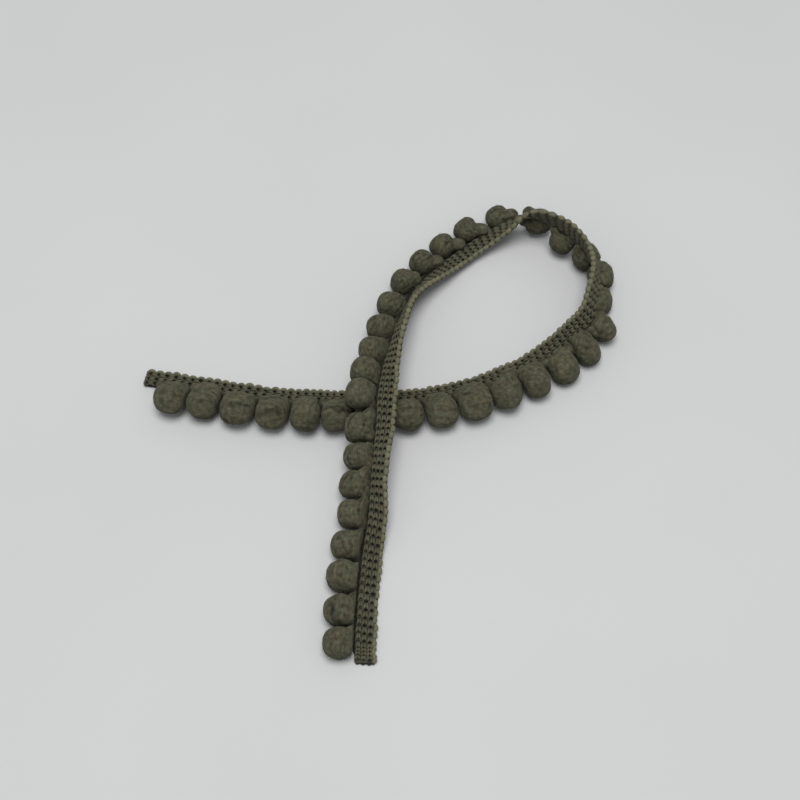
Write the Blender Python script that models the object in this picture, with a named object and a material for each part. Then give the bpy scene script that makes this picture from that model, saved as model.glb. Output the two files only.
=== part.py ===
"""Pompom fringe trim: a narrow knitted heading with a row of yarn pompoms along one edge.

The cut length lies in one open loop on a flat surface and crosses over itself. The same face of the
heading stays up all the way, and the pompoms always stand on the outside of the loop.
Table values are in millimetres and degrees, the model is in metres, and +Z is up.
"""

import math

import bmesh
import bpy
import numpy as np

MM = 0.001

# The heading: a knitted braid with raised wales on its upper face and a flat underside.
HEADING_WIDTH = 4.0
HEADING_THICKNESS = 1.3
WALES = 4
WALE_RELIEF = 0.3
WALE_CREST_SHARE = 0.45
UNDERSIDE_INSET = 0.2
COURSES_PER_POMPOM = 4

# The pompoms: a soft yarn ball that grows out of a small root tuft at the heading's edge.
BALL_GAP = 0.5
TUFT_ROOM = 0.8
POMPOM_SIDES = 10
ROOT_RADIUS = 0.9
ROOT_BACK_SHARE = 0.38
FLAT_SPOT_DEPTH = 0.25

PIECE_GAP = 0.3

# Middle of the laid trim in the route's own coordinates: the model is centred on it.
LAY_MIDDLE_X = -2.7
LAY_MIDDLE_Y = -3.3

# The route of the heading's centre line, one row for each pompom and one for each cut end.
# x and y lie on the surface, z is the height of the heading's middle, and roll lowers the pompom
# side, so that 0 is a heading lying flat and 90 one standing on edge above its pompoms. drop is the
# angle at which the pompom points down from the heading's edge, negative where it points up.
# across and height are the pompom's size out from the heading and upright, 0 for a cut end.
COLUMNS = ("x", "y", "z", "roll", "drop", "across", "height")
ROUTE = (
    (-51.2, 5.0, 0.65, 0, -35, 0, 0),
    (-44.4, 3.9, 0.65, 0, -35, 7.2, 6.2),
    (-37.7, 2.7, 0.65, 0, -35, 7.2, 6.2),
    (-31.2, 1.5, 0.65, 0, -35, 7.2, 6.2),
    (-24.2, 0.5, 0.65, 0, -35, 7.4, 6.2),
    (-18.0, 0.0, 0.65, 0, -35, 7.4, 6.2),
    (-12.5, -0.2, 0.65, 0, -35, 7.0, 6.0),
    (-5.8, -0.2, 0.65, 0, -35, 6.4, 4.9),
    (1.1, 0.1, 0.65, 0, -35, 7.2, 5.8),
    (7.0, 0.9, 0.65, 0, -35, 7.4, 6.2),
    (13.1, 2.5, 0.65, 0, -35, 7.5, 6.2),
    (19.2, 4.9, 0.7, 0, -34, 7.4, 6.2),
    (24.4, 7.4, 1.0, 4, -30, 7.1, 6.2),
    (29.7, 10.7, 1.9, 12, -12, 6.8, 6.2),
    (34.0, 14.0, 3.5, 24, 16, 6.4, 5.8),
    (37.4, 16.7, 5.7, 42, 42, 5.8, 5.8),
    (39.3, 22.2, 7.4, 56, 75, 5.6, 5.4),
    (40.2, 28.2, 7.9, 68, 68, 5.7, 5.4),
    (38.6, 33.0, 8.6, 82, 76, 6.0, 5.6),
    (34.6, 38.1, 8.7, 90, 90, 5.4, 5.4),
    (27.8, 41.7, 7.8, 66, 66, 5.7, 5.4),
    (22.3, 40.4, 4.2, 34, 12, 5.2, 5.2),
    (17.0, 37.6, 2.3, 14, -18, 5.2, 5.4),
    (12.4, 33.8, 1.9, 12, -18, 5.2, 5.4),
    (8.5, 29.6, 2.8, 20, -8, 5.1, 5.4),
    (4.8, 25.2, 4.0, 34, 2, 5.1, 5.2),
    (2.3, 20.1, 5.4, 50, 10, 5.4, 5.2),
    (0.6, 14.1, 6.8, 48, 20, 5.8, 5.4),
    (-0.8, 7.4, 7.7, 40, 15, 5.7, 5.4),
    (-1.8, 1.4, 7.7, 26, -2, 5.8, 5.6),
    (-2.4, -4.0, 7.4, 14, -18, 5.9, 5.8),
    (-2.7, -10.6, 7.2, 24, 7, 5.9, 6.0),
    (-3.3, -16.4, 7.0, 37, 30, 5.8, 5.8),
    (-3.8, -22.2, 5.7, 40, 21, 5.8, 5.8),
    (-4.0, -27.9, 3.6, 24, -2, 5.5, 5.6),
    (-4.9, -33.8, 1.3, 6, -27, 5.6, 5.8),
    (-5.5, -40.0, 0.65, 0, -35, 5.8, 5.8),
    (-5.9, -46.6, 0.65, 0, -35, 5.7, 5.8),
    (-6.1, -52.5, 0.65, 0, -35, 5.6, 5.6),
    (-6.1, -55.4, 0.65, 0, -35, 0, 0),
)

# One pompom's rings, from the far side of the ball to the tip of its root. Each has its place along
# the line from the ball's centre to the root, and its radius, both as shares of the ball's radius.
# The last three stand on the root, so their places are counted from the root's own centre.
BALL_RINGS = ((-0.9, 0.44), (-0.55, 0.83), (0.0, 1.0), (0.45, 0.89), (0.76, 0.64))
ROOT_RINGS = ((-0.3, 1.05), (0.35, 0.92), (0.9, 0.4))

HEADING_COLOUR = (0.125, 0.13, 0.072)
POMPOM_COLOUR = (0.088, 0.088, 0.05)
YARN_ROUGHNESS = 0.9


def clear_scene():
    for item in list(bpy.data.objects):
        bpy.data.objects.remove(item, do_unlink=True)


def yarn_material(name, colour):
    material = bpy.data.materials.new(name)
    material.use_nodes = True
    shader = material.node_tree.nodes["Principled BSDF"]
    shader.inputs["Base Color"].default_value = (*colour, 1.0)
    shader.inputs["Roughness"].default_value = YARN_ROUGHNESS
    shader.inputs["Metallic"].default_value = 0.0
    return material


def add_body(name, points, faces, material):
    """One closed body from points in millimetres, with its faces turned outwards."""
    middle = np.array((LAY_MIDDLE_X, LAY_MIDDLE_Y, 0.0))
    places = (np.array(points) - middle) * MM
    mesh = bpy.data.meshes.new(name)
    mesh.from_pydata(places.tolist(), [], faces)
    shape = bmesh.new()
    shape.from_mesh(mesh)
    bmesh.ops.recalc_face_normals(shape, faces=shape.faces)
    shape.to_mesh(mesh)
    shape.free()
    mesh.shade_smooth()
    mesh.set_sharp_from_angle(angle=math.radians(50))
    mesh.materials.append(material)
    body = bpy.data.objects.new(name, mesh)
    bpy.context.collection.objects.link(body)
    return body


def unit(vector):
    return vector / np.linalg.norm(vector)


class Route:
    """A smooth line through the table's rows, read at a row number or anywhere between two rows."""

    def __init__(self, rows):
        self.rows = np.array(rows, dtype=float)
        steps = np.linalg.norm(np.diff(self.rows[:, :3], axis=0), axis=1)
        slopes = np.diff(self.rows, axis=0) / steps[:, None]
        before, after = steps[:-1, None], steps[1:, None]
        inner = (slopes[:-1] * after + slopes[1:] * before) / (before + after)
        self.steps = steps
        self.slopes = np.vstack((slopes[:1], inner, slopes[-1:]))

    def row(self, place):
        """All columns at a place given in rows, by cubic curves that meet with one slope."""
        first = min(max(int(math.floor(place)), 0), len(self.steps) - 1)
        share = place - first
        step = self.steps[first]
        start, end = self.rows[first], self.rows[first + 1]
        leave, arrive = self.slopes[first] * step, self.slopes[first + 1] * step
        bend = 3 * (end - start) - 2 * leave - arrive
        close = 2 * (start - end) + leave + arrive
        return start + leave * share + bend * share**2 + close * share**3

    def frame(self, place):
        """Centre, travel direction, right-hand and upward directions, and the roll in radians."""
        reach = 0.05
        values = self.row(place)
        travel = unit(self.row(place + reach)[:3] - self.row(place - reach)[:3])
        right = unit(np.cross(travel, (0.0, 0.0, 1.0)))
        upward = np.cross(right, travel)
        roll = math.radians(values[3])
        half_depth = HEADING_THICKNESS / 2 * abs(math.cos(roll)) + HEADING_WIDTH / 2 * abs(math.sin(roll))
        centre = values[:3].copy()
        centre[2] = max(centre[2], half_depth)
        return centre, travel, right, upward, roll


def heading_profile():
    """The heading's section as (out, up) points: four rounded wales above a flat underside."""
    half_width = HEADING_WIDTH / 2
    crest = HEADING_THICKNESS / 2
    valley = crest - WALE_RELIEF
    underside = -HEADING_THICKNESS / 2
    wale = HEADING_WIDTH / WALES
    points = [(-half_width + UNDERSIDE_INSET, underside), (-half_width, 0.0)]
    for number in range(WALES):
        middle = -half_width + (number + 0.5) * wale
        reach = wale * WALE_CREST_SHARE / 2
        points.append((middle - reach, crest))
        points.append((middle + reach, crest))
        if number < WALES - 1:
            points.append((middle + wale / 2, valley))
    points += [(half_width, 0.0), (half_width - UNDERSIDE_INSET, underside)]
    return points


def build_heading(route, material):
    """The whole heading: one body swept along the route, with a section at each knitted course."""
    profile = heading_profile()
    sides = len(profile)
    sections = (len(ROUTE) - 1) * COURSES_PER_POMPOM + 1
    points = []
    for number in range(sections):
        centre, _, right, upward, roll = route.frame(number / COURSES_PER_POMPOM)
        outward = math.cos(roll) * right - math.sin(roll) * upward
        normal = math.cos(roll) * upward + math.sin(roll) * right
        points += [centre + outward * out + normal * up for out, up in profile]
    faces = [tuple(range(sides)), tuple(range(sides * (sections - 1), sides * sections))]
    for number in range(sections - 1):
        low, high = number * sides, (number + 1) * sides
        for side in range(sides):
            after = (side + 1) % sides
            faces.append((low + side, low + after, high + after, high + side))
    return add_body("heading", points, faces, material)


def pompom_places(route):
    """For each pompom its heading edge, centre, directions and half sizes, in the route's order."""
    places = []
    for number, values in enumerate(ROUTE):
        station = dict(zip(COLUMNS, values))
        across, height = station["across"], station["height"]
        if across == 0:
            continue
        edge_centre, travel, right, upward, roll = route.frame(number)
        outward = math.cos(roll) * right - math.sin(roll) * upward
        edge = edge_centre + outward * HEADING_WIDTH / 2
        drop = math.radians(station["drop"])
        away = math.cos(drop) * right - math.sin(drop) * upward
        centre = edge + away * (across / 2 + BALL_GAP)
        centre[2] = max(centre[2], height / 2 - FLAT_SPOT_DEPTH)
        away = unit(centre - edge)
        places.append(
            {"edge": edge, "centre": centre, "away": away, "travel": travel,
             "across": across / 2, "height": height / 2}
        )
    spans = [
        np.linalg.norm(after["centre"] - before["centre"])
        for before, after in zip(places, places[1:])
    ]
    for number, place in enumerate(places):
        near = min(spans[max(number - 1, 0):number + 1])
        place["spacing"] = spans[max(number - 1, 0)]
        place["length"] = min(2 * place["across"], near - TUFT_ROOM) / 2
    return places


def build_pompom(number, place, material):
    """One ball with its root tuft, as rings of points around the line from the ball to the root."""
    travel, away = place["travel"], place["away"]
    upright = unit(np.cross(travel, away))
    radius = place["across"]
    root = place["edge"] + away * (PIECE_GAP + ROOT_RADIUS)
    root = root - travel * ROOT_BACK_SHARE * place["spacing"]
    to_root = root - place["centre"]
    distance = np.linalg.norm(to_root)
    axis = to_root / distance
    first = unit(np.cross(axis, upright))
    second = np.cross(axis, first)
    sizes = ((travel, place["length"]), (away, place["across"]), (upright, place["height"]))

    def fitted(offset):
        """The offset from the ball's centre, with the ball squeezed to its three half sizes."""
        return sum(side * (offset @ side) * size / radius for side, size in sizes)

    rings = [(share * radius, ring * radius, True) for share, ring in BALL_RINGS]
    rings += [(distance + step * ROOT_RADIUS, ring * ROOT_RADIUS, False) for step, ring in ROOT_RINGS]
    points = [place["centre"] + fitted(-axis * radius)]
    for along, around, is_ball in rings:
        for side in range(POMPOM_SIDES):
            turn = 2 * math.pi * side / POMPOM_SIDES
            offset = axis * along + (first * math.cos(turn) + second * math.sin(turn)) * around
            points.append(place["centre"] + (fitted(offset) if is_ball else offset))
    points.append(root + axis * ROOT_RADIUS)
    for point in points:
        point[2] = max(point[2], 0.0)
    faces = []
    last = len(points) - 1
    final_ring = 1 + (len(rings) - 1) * POMPOM_SIDES
    for side in range(POMPOM_SIDES):
        after = (side + 1) % POMPOM_SIDES
        faces.append((0, 1 + side, 1 + after))
        faces.append((last, final_ring + side, final_ring + after))
        for ring in range(len(rings) - 1):
            low = 1 + ring * POMPOM_SIDES
            high = low + POMPOM_SIDES
            faces.append((low + side, low + after, high + after, high + side))
    return add_body(f"pompom_{number:02d}", points, faces, material)


def main():
    clear_scene()
    route = Route(ROUTE)
    build_heading(route, yarn_material("heading_yarn", HEADING_COLOUR))
    pompom_yarn = yarn_material("pompom_yarn", POMPOM_COLOUR)
    for number, place in enumerate(pompom_places(route), start=1):
        build_pompom(number, place, pompom_yarn)


main()
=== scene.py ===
"""Looks of the pompom fringe trim: knitted heading, yarn pompoms, pale floor, soft light, camera.

All sizes are in metres unless a name says otherwise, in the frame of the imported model. Places along
the trim are counted in pompoms: place 0 is the first cut end and place 1 is the first pompom.
"""

import math

import bpy
import numpy as np
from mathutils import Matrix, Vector


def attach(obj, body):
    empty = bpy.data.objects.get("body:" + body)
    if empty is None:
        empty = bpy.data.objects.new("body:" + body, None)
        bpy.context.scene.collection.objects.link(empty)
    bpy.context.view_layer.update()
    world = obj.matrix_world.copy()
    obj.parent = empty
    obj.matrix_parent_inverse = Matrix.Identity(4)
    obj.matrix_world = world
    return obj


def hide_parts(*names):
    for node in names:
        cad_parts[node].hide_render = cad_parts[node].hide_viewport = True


MM = 0.001
UP = np.array((0.0, 0.0, 1.0))
FULL_TURN = 2 * math.pi

# --- The lay of the trim, as in the model's source ---

HEADING_WIDTH = 0.0040
HEADING_THICKNESS = 0.0013
COURSES_PER_POMPOM = 4
BALL_GAP = 0.0005
BALL_ROOM = 0.0003
FLAT_SPOT_DEPTH = 0.00025
LAY_MIDDLE = np.array((-0.0027, -0.0033, 0.0))

# One row for each pompom and one for each cut end. x and y lie on the floor, z is the height of the
# heading's middle, and roll in degrees lowers the pompom side. drop is how far the pompom points
# down from the heading's edge, in degrees. across and height are its size out from the heading and
# upright, 0 for a cut end.
COLUMNS = ("x", "y", "z", "roll", "drop", "across", "height")
ROUTE = (
    (-0.0512, 0.0050, 0.00065, 0, -35, 0.0, 0.0),
    (-0.0444, 0.0039, 0.00065, 0, -35, 0.0072, 0.0062),
    (-0.0377, 0.0027, 0.00065, 0, -35, 0.0072, 0.0062),
    (-0.0312, 0.0015, 0.00065, 0, -35, 0.0072, 0.0062),
    (-0.0242, 0.0005, 0.00065, 0, -35, 0.0074, 0.0062),
    (-0.0180, 0.0000, 0.00065, 0, -35, 0.0074, 0.0062),
    (-0.0125, -0.0002, 0.00065, 0, -35, 0.0070, 0.0060),
    (-0.0058, -0.0002, 0.00065, 0, -35, 0.0064, 0.0049),
    (0.0011, 0.0001, 0.00065, 0, -35, 0.0072, 0.0058),
    (0.0070, 0.0009, 0.00065, 0, -35, 0.0074, 0.0062),
    (0.0131, 0.0025, 0.00065, 0, -35, 0.0075, 0.0062),
    (0.0192, 0.0049, 0.0007, 0, -34, 0.0074, 0.0062),
    (0.0244, 0.0074, 0.0010, 4, -30, 0.0071, 0.0062),
    (0.0297, 0.0107, 0.0019, 12, -12, 0.0068, 0.0062),
    (0.0340, 0.0140, 0.0035, 24, 16, 0.0064, 0.0058),
    (0.0374, 0.0167, 0.0057, 42, 42, 0.0058, 0.0058),
    (0.0393, 0.0222, 0.0074, 56, 75, 0.0056, 0.0054),
    (0.0402, 0.0282, 0.0079, 68, 68, 0.0057, 0.0054),
    (0.0386, 0.0330, 0.0086, 82, 76, 0.0060, 0.0056),
    (0.0346, 0.0381, 0.0087, 90, 90, 0.0054, 0.0054),
    (0.0278, 0.0417, 0.0078, 66, 66, 0.0057, 0.0054),
    (0.0223, 0.0404, 0.0042, 34, 12, 0.0052, 0.0052),
    (0.0170, 0.0376, 0.0023, 14, -18, 0.0052, 0.0054),
    (0.0124, 0.0338, 0.0019, 12, -18, 0.0052, 0.0054),
    (0.0085, 0.0296, 0.0028, 20, -8, 0.0051, 0.0054),
    (0.0048, 0.0252, 0.0040, 34, 2, 0.0051, 0.0052),
    (0.0023, 0.0201, 0.0054, 50, 10, 0.0054, 0.0052),
    (0.0006, 0.0141, 0.0068, 48, 20, 0.0058, 0.0054),
    (-0.0008, 0.0074, 0.0077, 40, 15, 0.0057, 0.0054),
    (-0.0018, 0.0014, 0.0077, 26, -2, 0.0058, 0.0056),
    (-0.0024, -0.0040, 0.0074, 14, -18, 0.0059, 0.0058),
    (-0.0027, -0.0106, 0.0072, 24, 7, 0.0059, 0.0060),
    (-0.0033, -0.0164, 0.0070, 37, 30, 0.0058, 0.0058),
    (-0.0038, -0.0222, 0.0057, 40, 21, 0.0058, 0.0058),
    (-0.0040, -0.0279, 0.0036, 24, -2, 0.0055, 0.0056),
    (-0.0049, -0.0338, 0.0013, 6, -27, 0.0056, 0.0058),
    (-0.0055, -0.0400, 0.00065, 0, -35, 0.0058, 0.0058),
    (-0.0059, -0.0466, 0.00065, 0, -35, 0.0057, 0.0058),
    (-0.0061, -0.0525, 0.00065, 0, -35, 0.0056, 0.0056),
    (-0.0061, -0.0554, 0.00065, 0, -35, 0.0, 0.0),
)
# How much further the knit itself turns at a place, in degrees of roll: place and turn.
KNIT_TURNS = (
    (19, 0), (20, -10), (21, -12), (22, -4), (23, 0), (24, 10),
    (25, 16), (26, 20), (27, 13), (28, 13), (29, 6), (30, 0),
)
LAST_PLACE = len(ROUTE) - 1
COURSES = LAST_PLACE * COURSES_PER_POMPOM
# The direction of travel is read from this far before a place to as far after it.
TRAVEL_REACH = 0.05
# At how many points the heading's length is measured.
LENGTH_POINTS = 800

# Seeds of the random draws. A wale and a pompom add their own number.
EDGE_SEED = 11
WALE_SEED = 20
WEFT_SEED = 31
POMPOM_SEED = 100

# --- The knit ---

# out is measured across the heading from its middle, negative towards the free edge and positive
# towards the pompoms. up is measured from the middle of its thickness. painted_light says how a
# point is painted: from 0, dark painted shade deep in the knit, to 1, painted highlight on its
# crowns.

# The backing is a thin band inside the knit. Its outer edge, a row for a place and how far out the
# edge lies there, reaches into the groove beside the pompoms, but not past the first and the last.
BACKING_INNER = -0.00170
BACKING_OUTER = (
    (0.5, 0.00190), (0.9, 0.00250), (20.0, 0.00250), (20.8, 0.00330),
    (24.5, 0.00345), (26.0, 0.00400), (28.0, 0.00400), (31.0, 0.00330),
    (33.0, 0.00260), (38.1, 0.00250), (38.5, 0.00190),
)
# Between these distances out it bends from the knit's own turn to the pompoms' side.
BACKING_BEND = (0.00150, 0.00260)
BACKING_TOP = -0.00006
BACKING_BOTTOM = -0.00034
# The backing's painted light below. Its top is 0, a dark painted shade that stands in for the shadow
# seen through the knit's holes.
BACKING_PAINTED_LIGHT_BELOW = 0.22
# Points across each face, how thin and how sharp its edges get, and how far from the cut ends it
# stops.
BACKING_POINTS = 9
BACKING_THINNING = 0.6
BACKING_EDGE_POWER = 8
BACKING_MARGIN = 0.02
# The length that its fibre coordinates give to one place, about the pompoms' spacing.
BACKING_PLACE_LENGTH = 0.006

# Each stitch is a short table of points on its yarn. along is in courses, out and up are distances,
# and size is a share of the yarn's own. In a chain stitch out is a share of the wale's reach.
STITCH_COLUMNS = ("along", "out", "up", "size")

# One chain stitch, as half of its loop: from behind its middle, up one leg and round to its head,
# which dips behind the next stitch. The legs lie together, then open round an eye.
CHAIN_HALF = (
    (-0.20, 0.30, -0.00046, 0.80),
    (-0.08, 0.36, -0.00014, 0.90),
    (0.04, 0.46, 0.00008, 1.00),
    (0.24, 0.56, 0.00015, 1.08),
    (0.41, 0.60, 0.00016, 1.08),
    (0.49, 0.84, 0.00012, 0.90),
    (0.56, 1.08, 0.00008, 0.70),
    (0.68, 1.20, 0.00004, 0.64),
    (0.81, 1.08, -0.00002, 0.66),
    (0.92, 0.80, -0.00008, 0.72),
    (1.02, 0.40, -0.00015, 0.78),
    (1.05, 0.00, -0.00018, 0.82),
)
CHAIN_POINTS = 25
CHAIN_UP = 0.00026
EYE_PLACE = 0.70

# The three chain wales: middle, reach of a leg's centre, yarn radius, and where along its course
# each eye lies.
WALE_COLUMNS = ("middle", "reach", "radius", "eye")
WALES = (
    (-0.00072, 0.00042, 0.00026, 0.54),
    (0.00036, 0.00042, 0.00026, 0.40),
    (0.00140, 0.00038, 0.00025, 0.26),
)
WALE_SIDES = 8
WALE_TWIST = 0.35
# Between these heights the yarn of a wale goes from the knit's painted shade to a painted highlight.
WALE_SHADE = (-0.00012, 0.00058)

# One loop of the free edge, a fat arch round the outermost eye.
EDGE_ARCH = (
    (-0.02, -0.00088, -0.00014, 0.52),
    (0.08, -0.00112, 0.00000, 0.64),
    (0.20, -0.00138, 0.00007, 0.82),
    (0.34, -0.00150, 0.00009, 0.96),
    (0.50, -0.00154, 0.00009, 1.00),
    (0.66, -0.00150, 0.00009, 0.96),
    (0.80, -0.00138, 0.00007, 0.82),
    (0.92, -0.00112, 0.00000, 0.64),
    (1.02, -0.00088, -0.00014, 0.52),
)
EDGE_POINTS = 19
# A yarn's half width and half height, the sides of its tube, and its twist in turns a millimetre.
EDGE_YARN = {"half_width": 0.00042, "half_height": 0.00054, "sides": 12, "twist": 0.30}
# Between these sizes the arch goes from the knit's painted shade to a painted highlight.
EDGE_SHADE = (0.50, 0.80)

# The weft of one course: a fat rib on the underside, and two yarns that cross between the wales.
RIB_LINE = (
    (0.22, 0.00182, -0.00014, 0.62),
    (0.28, 0.00142, -0.00032, 1.06),
    (0.36, 0.00092, -0.00026, 0.78),
    (0.43, 0.00042, -0.00034, 1.10),
    (0.48, -0.00010, -0.00026, 0.78),
    (0.52, -0.00060, -0.00034, 1.10),
    (0.55, -0.00108, -0.00026, 0.80),
    (0.57, -0.00150, -0.00024, 0.95),
)
RIB_POINTS = 15
RIB_YARN = {"half_width": 0.00074, "half_height": 0.00033, "sides": 10, "twist": 0.30}
# Painted light on a rib's sides, and how much more it has on its underside. The rib is painted in
# shade all over.
RIB_PAINTED_LIGHT = 0.22
RIB_PAINTED_LIGHT_BELOW = 0.34
CROSSING_LINE = (
    (0.00, 0.00176, 0.00002, 0.8),
    (-0.05, 0.00080, 0.00008, 1.0),
    (-0.05, -0.00020, 0.00008, 1.0),
    (0.00, -0.00120, 0.00002, 0.8),
)
CROSSING_POINTS = 9
CROSSING_YARN = {"half_width": 0.00017, "half_height": 0.00017, "sides": 6, "twist": 0.35}
# The crossing yarns get an even painted shade.
CROSSING_PAINTED_LIGHT = 0.55
CROSSING_PLACES = (0.86, 1.14)

# How uneven the stitches are. For each unit of it a stitch strays by these shares of its length and
# of a course, and by these distances out and up.
WALE_UNEVEN = 0.08
EDGE_UNEVEN = 0.045
WEFT_UNEVEN = 0.04
STRAY_LENGTH = 0.4
STRAY_ALONG = 0.5
STRAY_OUT = 0.0003
STRAY_UP = 0.0004
# How uneven the yarn's size is from stitch to stitch, how far the streaks of two stitches may be
# shifted, and how far from the cut ends the stitches stop.
SIZE_UNEVEN = 0.05
STREAK_SHIFT = 0.1
STITCH_MARGIN = 0.03

# --- Camera, from the photograph's viewing angle ---

CAMERA_ELEVATION_DEG = 57.5
CAMERA_DISTANCE = 0.260
CAMERA_LENS_MM = 58.5
CAMERA_SENSOR_MM = 36.0
CAMERA_CLIP = (0.01, 10.0)


def unit(vectors):
    return vectors / np.linalg.norm(vectors, axis=-1, keepdims=True)


def share_between(values, start, end):
    """0 up to the start, 1 from the end on, and even in between."""
    return np.clip((values - start) / (end - start), 0, 1)


class Strand:
    """The lay of the heading through space, read at any place along it."""

    columns = {name: number for number, name in enumerate((*COLUMNS, "turn"))}

    def __init__(self, rows):
        turns = np.interp(np.arange(len(rows)), *zip(*KNIT_TURNS))
        self.rows = np.column_stack((np.array(rows, dtype=float), turns))
        steps = np.linalg.norm(np.diff(self.rows[:, :3], axis=0), axis=1)
        slopes = np.diff(self.rows, axis=0) / steps[:, None]
        before, after = steps[:-1, None], steps[1:, None]
        inner = (slopes[:-1] * after + slopes[1:] * before) / (before + after)
        self.steps = steps
        self.slopes = np.vstack((slopes[:1], inner, slopes[-1:]))

    def rows_at(self, places):
        """All columns at each place, by cubic curves that meet with one slope."""
        places = np.asarray(places, dtype=float)
        first = np.clip(np.floor(places).astype(int), 0, len(self.steps) - 1)
        share = (places - first)[..., None]
        step = self.steps[first][..., None]
        start, end = self.rows[first], self.rows[first + 1]
        leave, arrive = self.slopes[first] * step, self.slopes[first + 1] * step
        bend = 3 * (end - start) - 2 * leave - arrive
        close = 2 * (start - end) + leave + arrive
        return start + leave * share + bend * share**2 + close * share**3

    def length(self):
        """Length of the heading's middle line."""
        points = self.rows_at(np.linspace(0, LAST_PLACE, LENGTH_POINTS))[:, :3]
        return float(np.linalg.norm(np.diff(points, axis=0), axis=1).sum())

    def frames(self, places, turned):
        """The heading's centre at each place, and its directions there.

        They are travel, outward to the pompoms, the normal of its upper face, and the right and
        upward that these two would be without roll. turned adds the knit's own turns to the roll.
        """
        values = self.rows_at(places)
        before, after = self.rows_at(places - TRAVEL_REACH), self.rows_at(places + TRAVEL_REACH)
        travel = unit(after[..., :3] - before[..., :3])
        right = unit(np.cross(travel, UP))
        upward = np.cross(right, travel)
        roll = values[..., self.columns["roll"]] + turned * values[..., self.columns["turn"]]
        roll = np.radians(roll)[..., None]
        lying, standing = np.abs(np.cos(roll)), np.abs(np.sin(roll))
        half_height = HEADING_THICKNESS / 2 * lying + HEADING_WIDTH / 2 * standing
        centre = values[..., :3] - LAY_MIDDLE
        centre[..., 2] = np.maximum(centre[..., 2], half_height[..., 0])
        outward = np.cos(roll) * right - np.sin(roll) * upward
        normal = np.cos(roll) * upward + np.sin(roll) * right
        return centre, travel, outward, normal, right, upward

    def points(self, places, out, up, turned=True):
        """Points at distances across and above the heading, and the heading's normal there."""
        centre, _, outward, normal, _, _ = self.frames(places, turned)
        return centre + outward * out[..., None] + normal * up[..., None], normal


# --- Meshes ---

# The visible skin of what rests on the floor lies this far above it.
FLOOR_GAP = 0.00002


def smooth_path(rows, count):
    """A soft curve through a short table's rows: count points at even steps of the row number."""
    rows = np.array(rows, dtype=float)
    places = np.linspace(0, len(rows) - 1, count)
    first = np.clip(np.floor(places).astype(int), 0, len(rows) - 2)
    share = (places - first)[:, None]
    padded_rows = np.vstack((2 * rows[0] - rows[1], rows, 2 * rows[-1] - rows[-2]))
    before, start, end, after = (padded_rows[first + step] for step in range(4))
    return 0.5 * (
        2 * start
        + (end - before) * share
        + (2 * before - 5 * start + 4 * end - after) * share**2
        + (3 * start - before - 3 * end + after) * share**3
    )


class Pile:
    """Closed lofts gathered for one piece, with three values at each point for its material.

    The fibre coordinates run slowly along the yarn and quickly around it, so that a material's
    noise becomes streaks along the fibres. The tone shifts the colour of a whole stitch. The
    painted light darkens what lies deep as painted shade, and lightens crowns as painted highlight.
    """

    def __init__(self):
        self.points = []
        self.faces = []
        self.fibre = []
        self.tone = []
        self.painted_light = []
        self.count = 0

    def add_lofts(self, rings, fibre, tone, painted_light, clockwise=False):
        """Lofts of rings, (lofts, rings, sides, 3), each closed by a fan at both of its ends.

        clockwise says that the rings turn so when seen from the loft's end, looking back. All faces
        look outwards either way.
        """
        lofts, length, sides, _ = rings.shape
        block = length * sides + 2
        numbers = np.arange(lofts * block).reshape(lofts, block) + self.count
        grid = numbers[:, :-2].reshape(lofts, length, sides)
        turned = np.roll(grid, -1, axis=2)
        start, end = (np.broadcast_to(numbers[:, at, None], (lofts, sides)) for at in (-2, -1))
        quads = np.stack((grid[:, :-1], turned[:, :-1], turned[:, 1:], grid[:, 1:]), axis=-1)
        start_fan = np.stack((start, turned[:, 0], grid[:, 0]), axis=-1)
        end_fan = np.stack((end, grid[:, -1], turned[:, -1]), axis=-1)
        for faces in (quads, start_fan, end_fan):
            faces = faces[..., ::-1] if clockwise else faces
            self.faces += faces.reshape(-1, faces.shape[-1]).tolist()
        for gathered, on_rings in ((self.points, rings), (self.fibre, fibre)):
            on_ends = on_rings[:, (0, -1)].mean(axis=2)
            on_rings = on_rings.reshape(lofts, -1, 3)
            gathered.append(np.concatenate((on_rings, on_ends), axis=1).reshape(-1, 3))
        self.tone.append(np.repeat(tone, block))
        on_rings = np.broadcast_to(painted_light, (lofts, length, sides)).reshape(lofts, -1)
        on_ends = on_rings[:, (0, -1)]
        self.painted_light.append(np.concatenate((on_rings, on_ends), axis=1).ravel())
        self.count += lofts * block

    def piece(self, name, material, slot, nodes=()):
        """The gathered lofts as one smooth object that rides with the part."""
        mesh = bpy.data.meshes.new(name)
        mesh.from_pydata(np.concatenate(self.points).tolist(), [], self.faces)
        for label, kind, field, gathered in (
            ("fibre", "FLOAT_VECTOR", "vector", self.fibre),
            ("tone", "FLOAT", "value", self.tone),
            ("painted_light", "FLOAT", "value", self.painted_light),
        ):
            layer = mesh.attributes.new(label, kind, "POINT")
            layer.data.foreach_set(field, np.concatenate(gathered).ravel().astype(np.float32))
        mesh.shade_smooth()
        mesh.materials.append(material)
        piece = bpy.data.objects.new(name, mesh)
        bpy.context.collection.objects.link(piece)
        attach(piece, "root")
        if nodes:
            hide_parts(*nodes)
        return piece


def turns_around(sides):
    """The angle of each side of a ring, in radians."""
    return FULL_TURN * np.arange(sides) / sides


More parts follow.
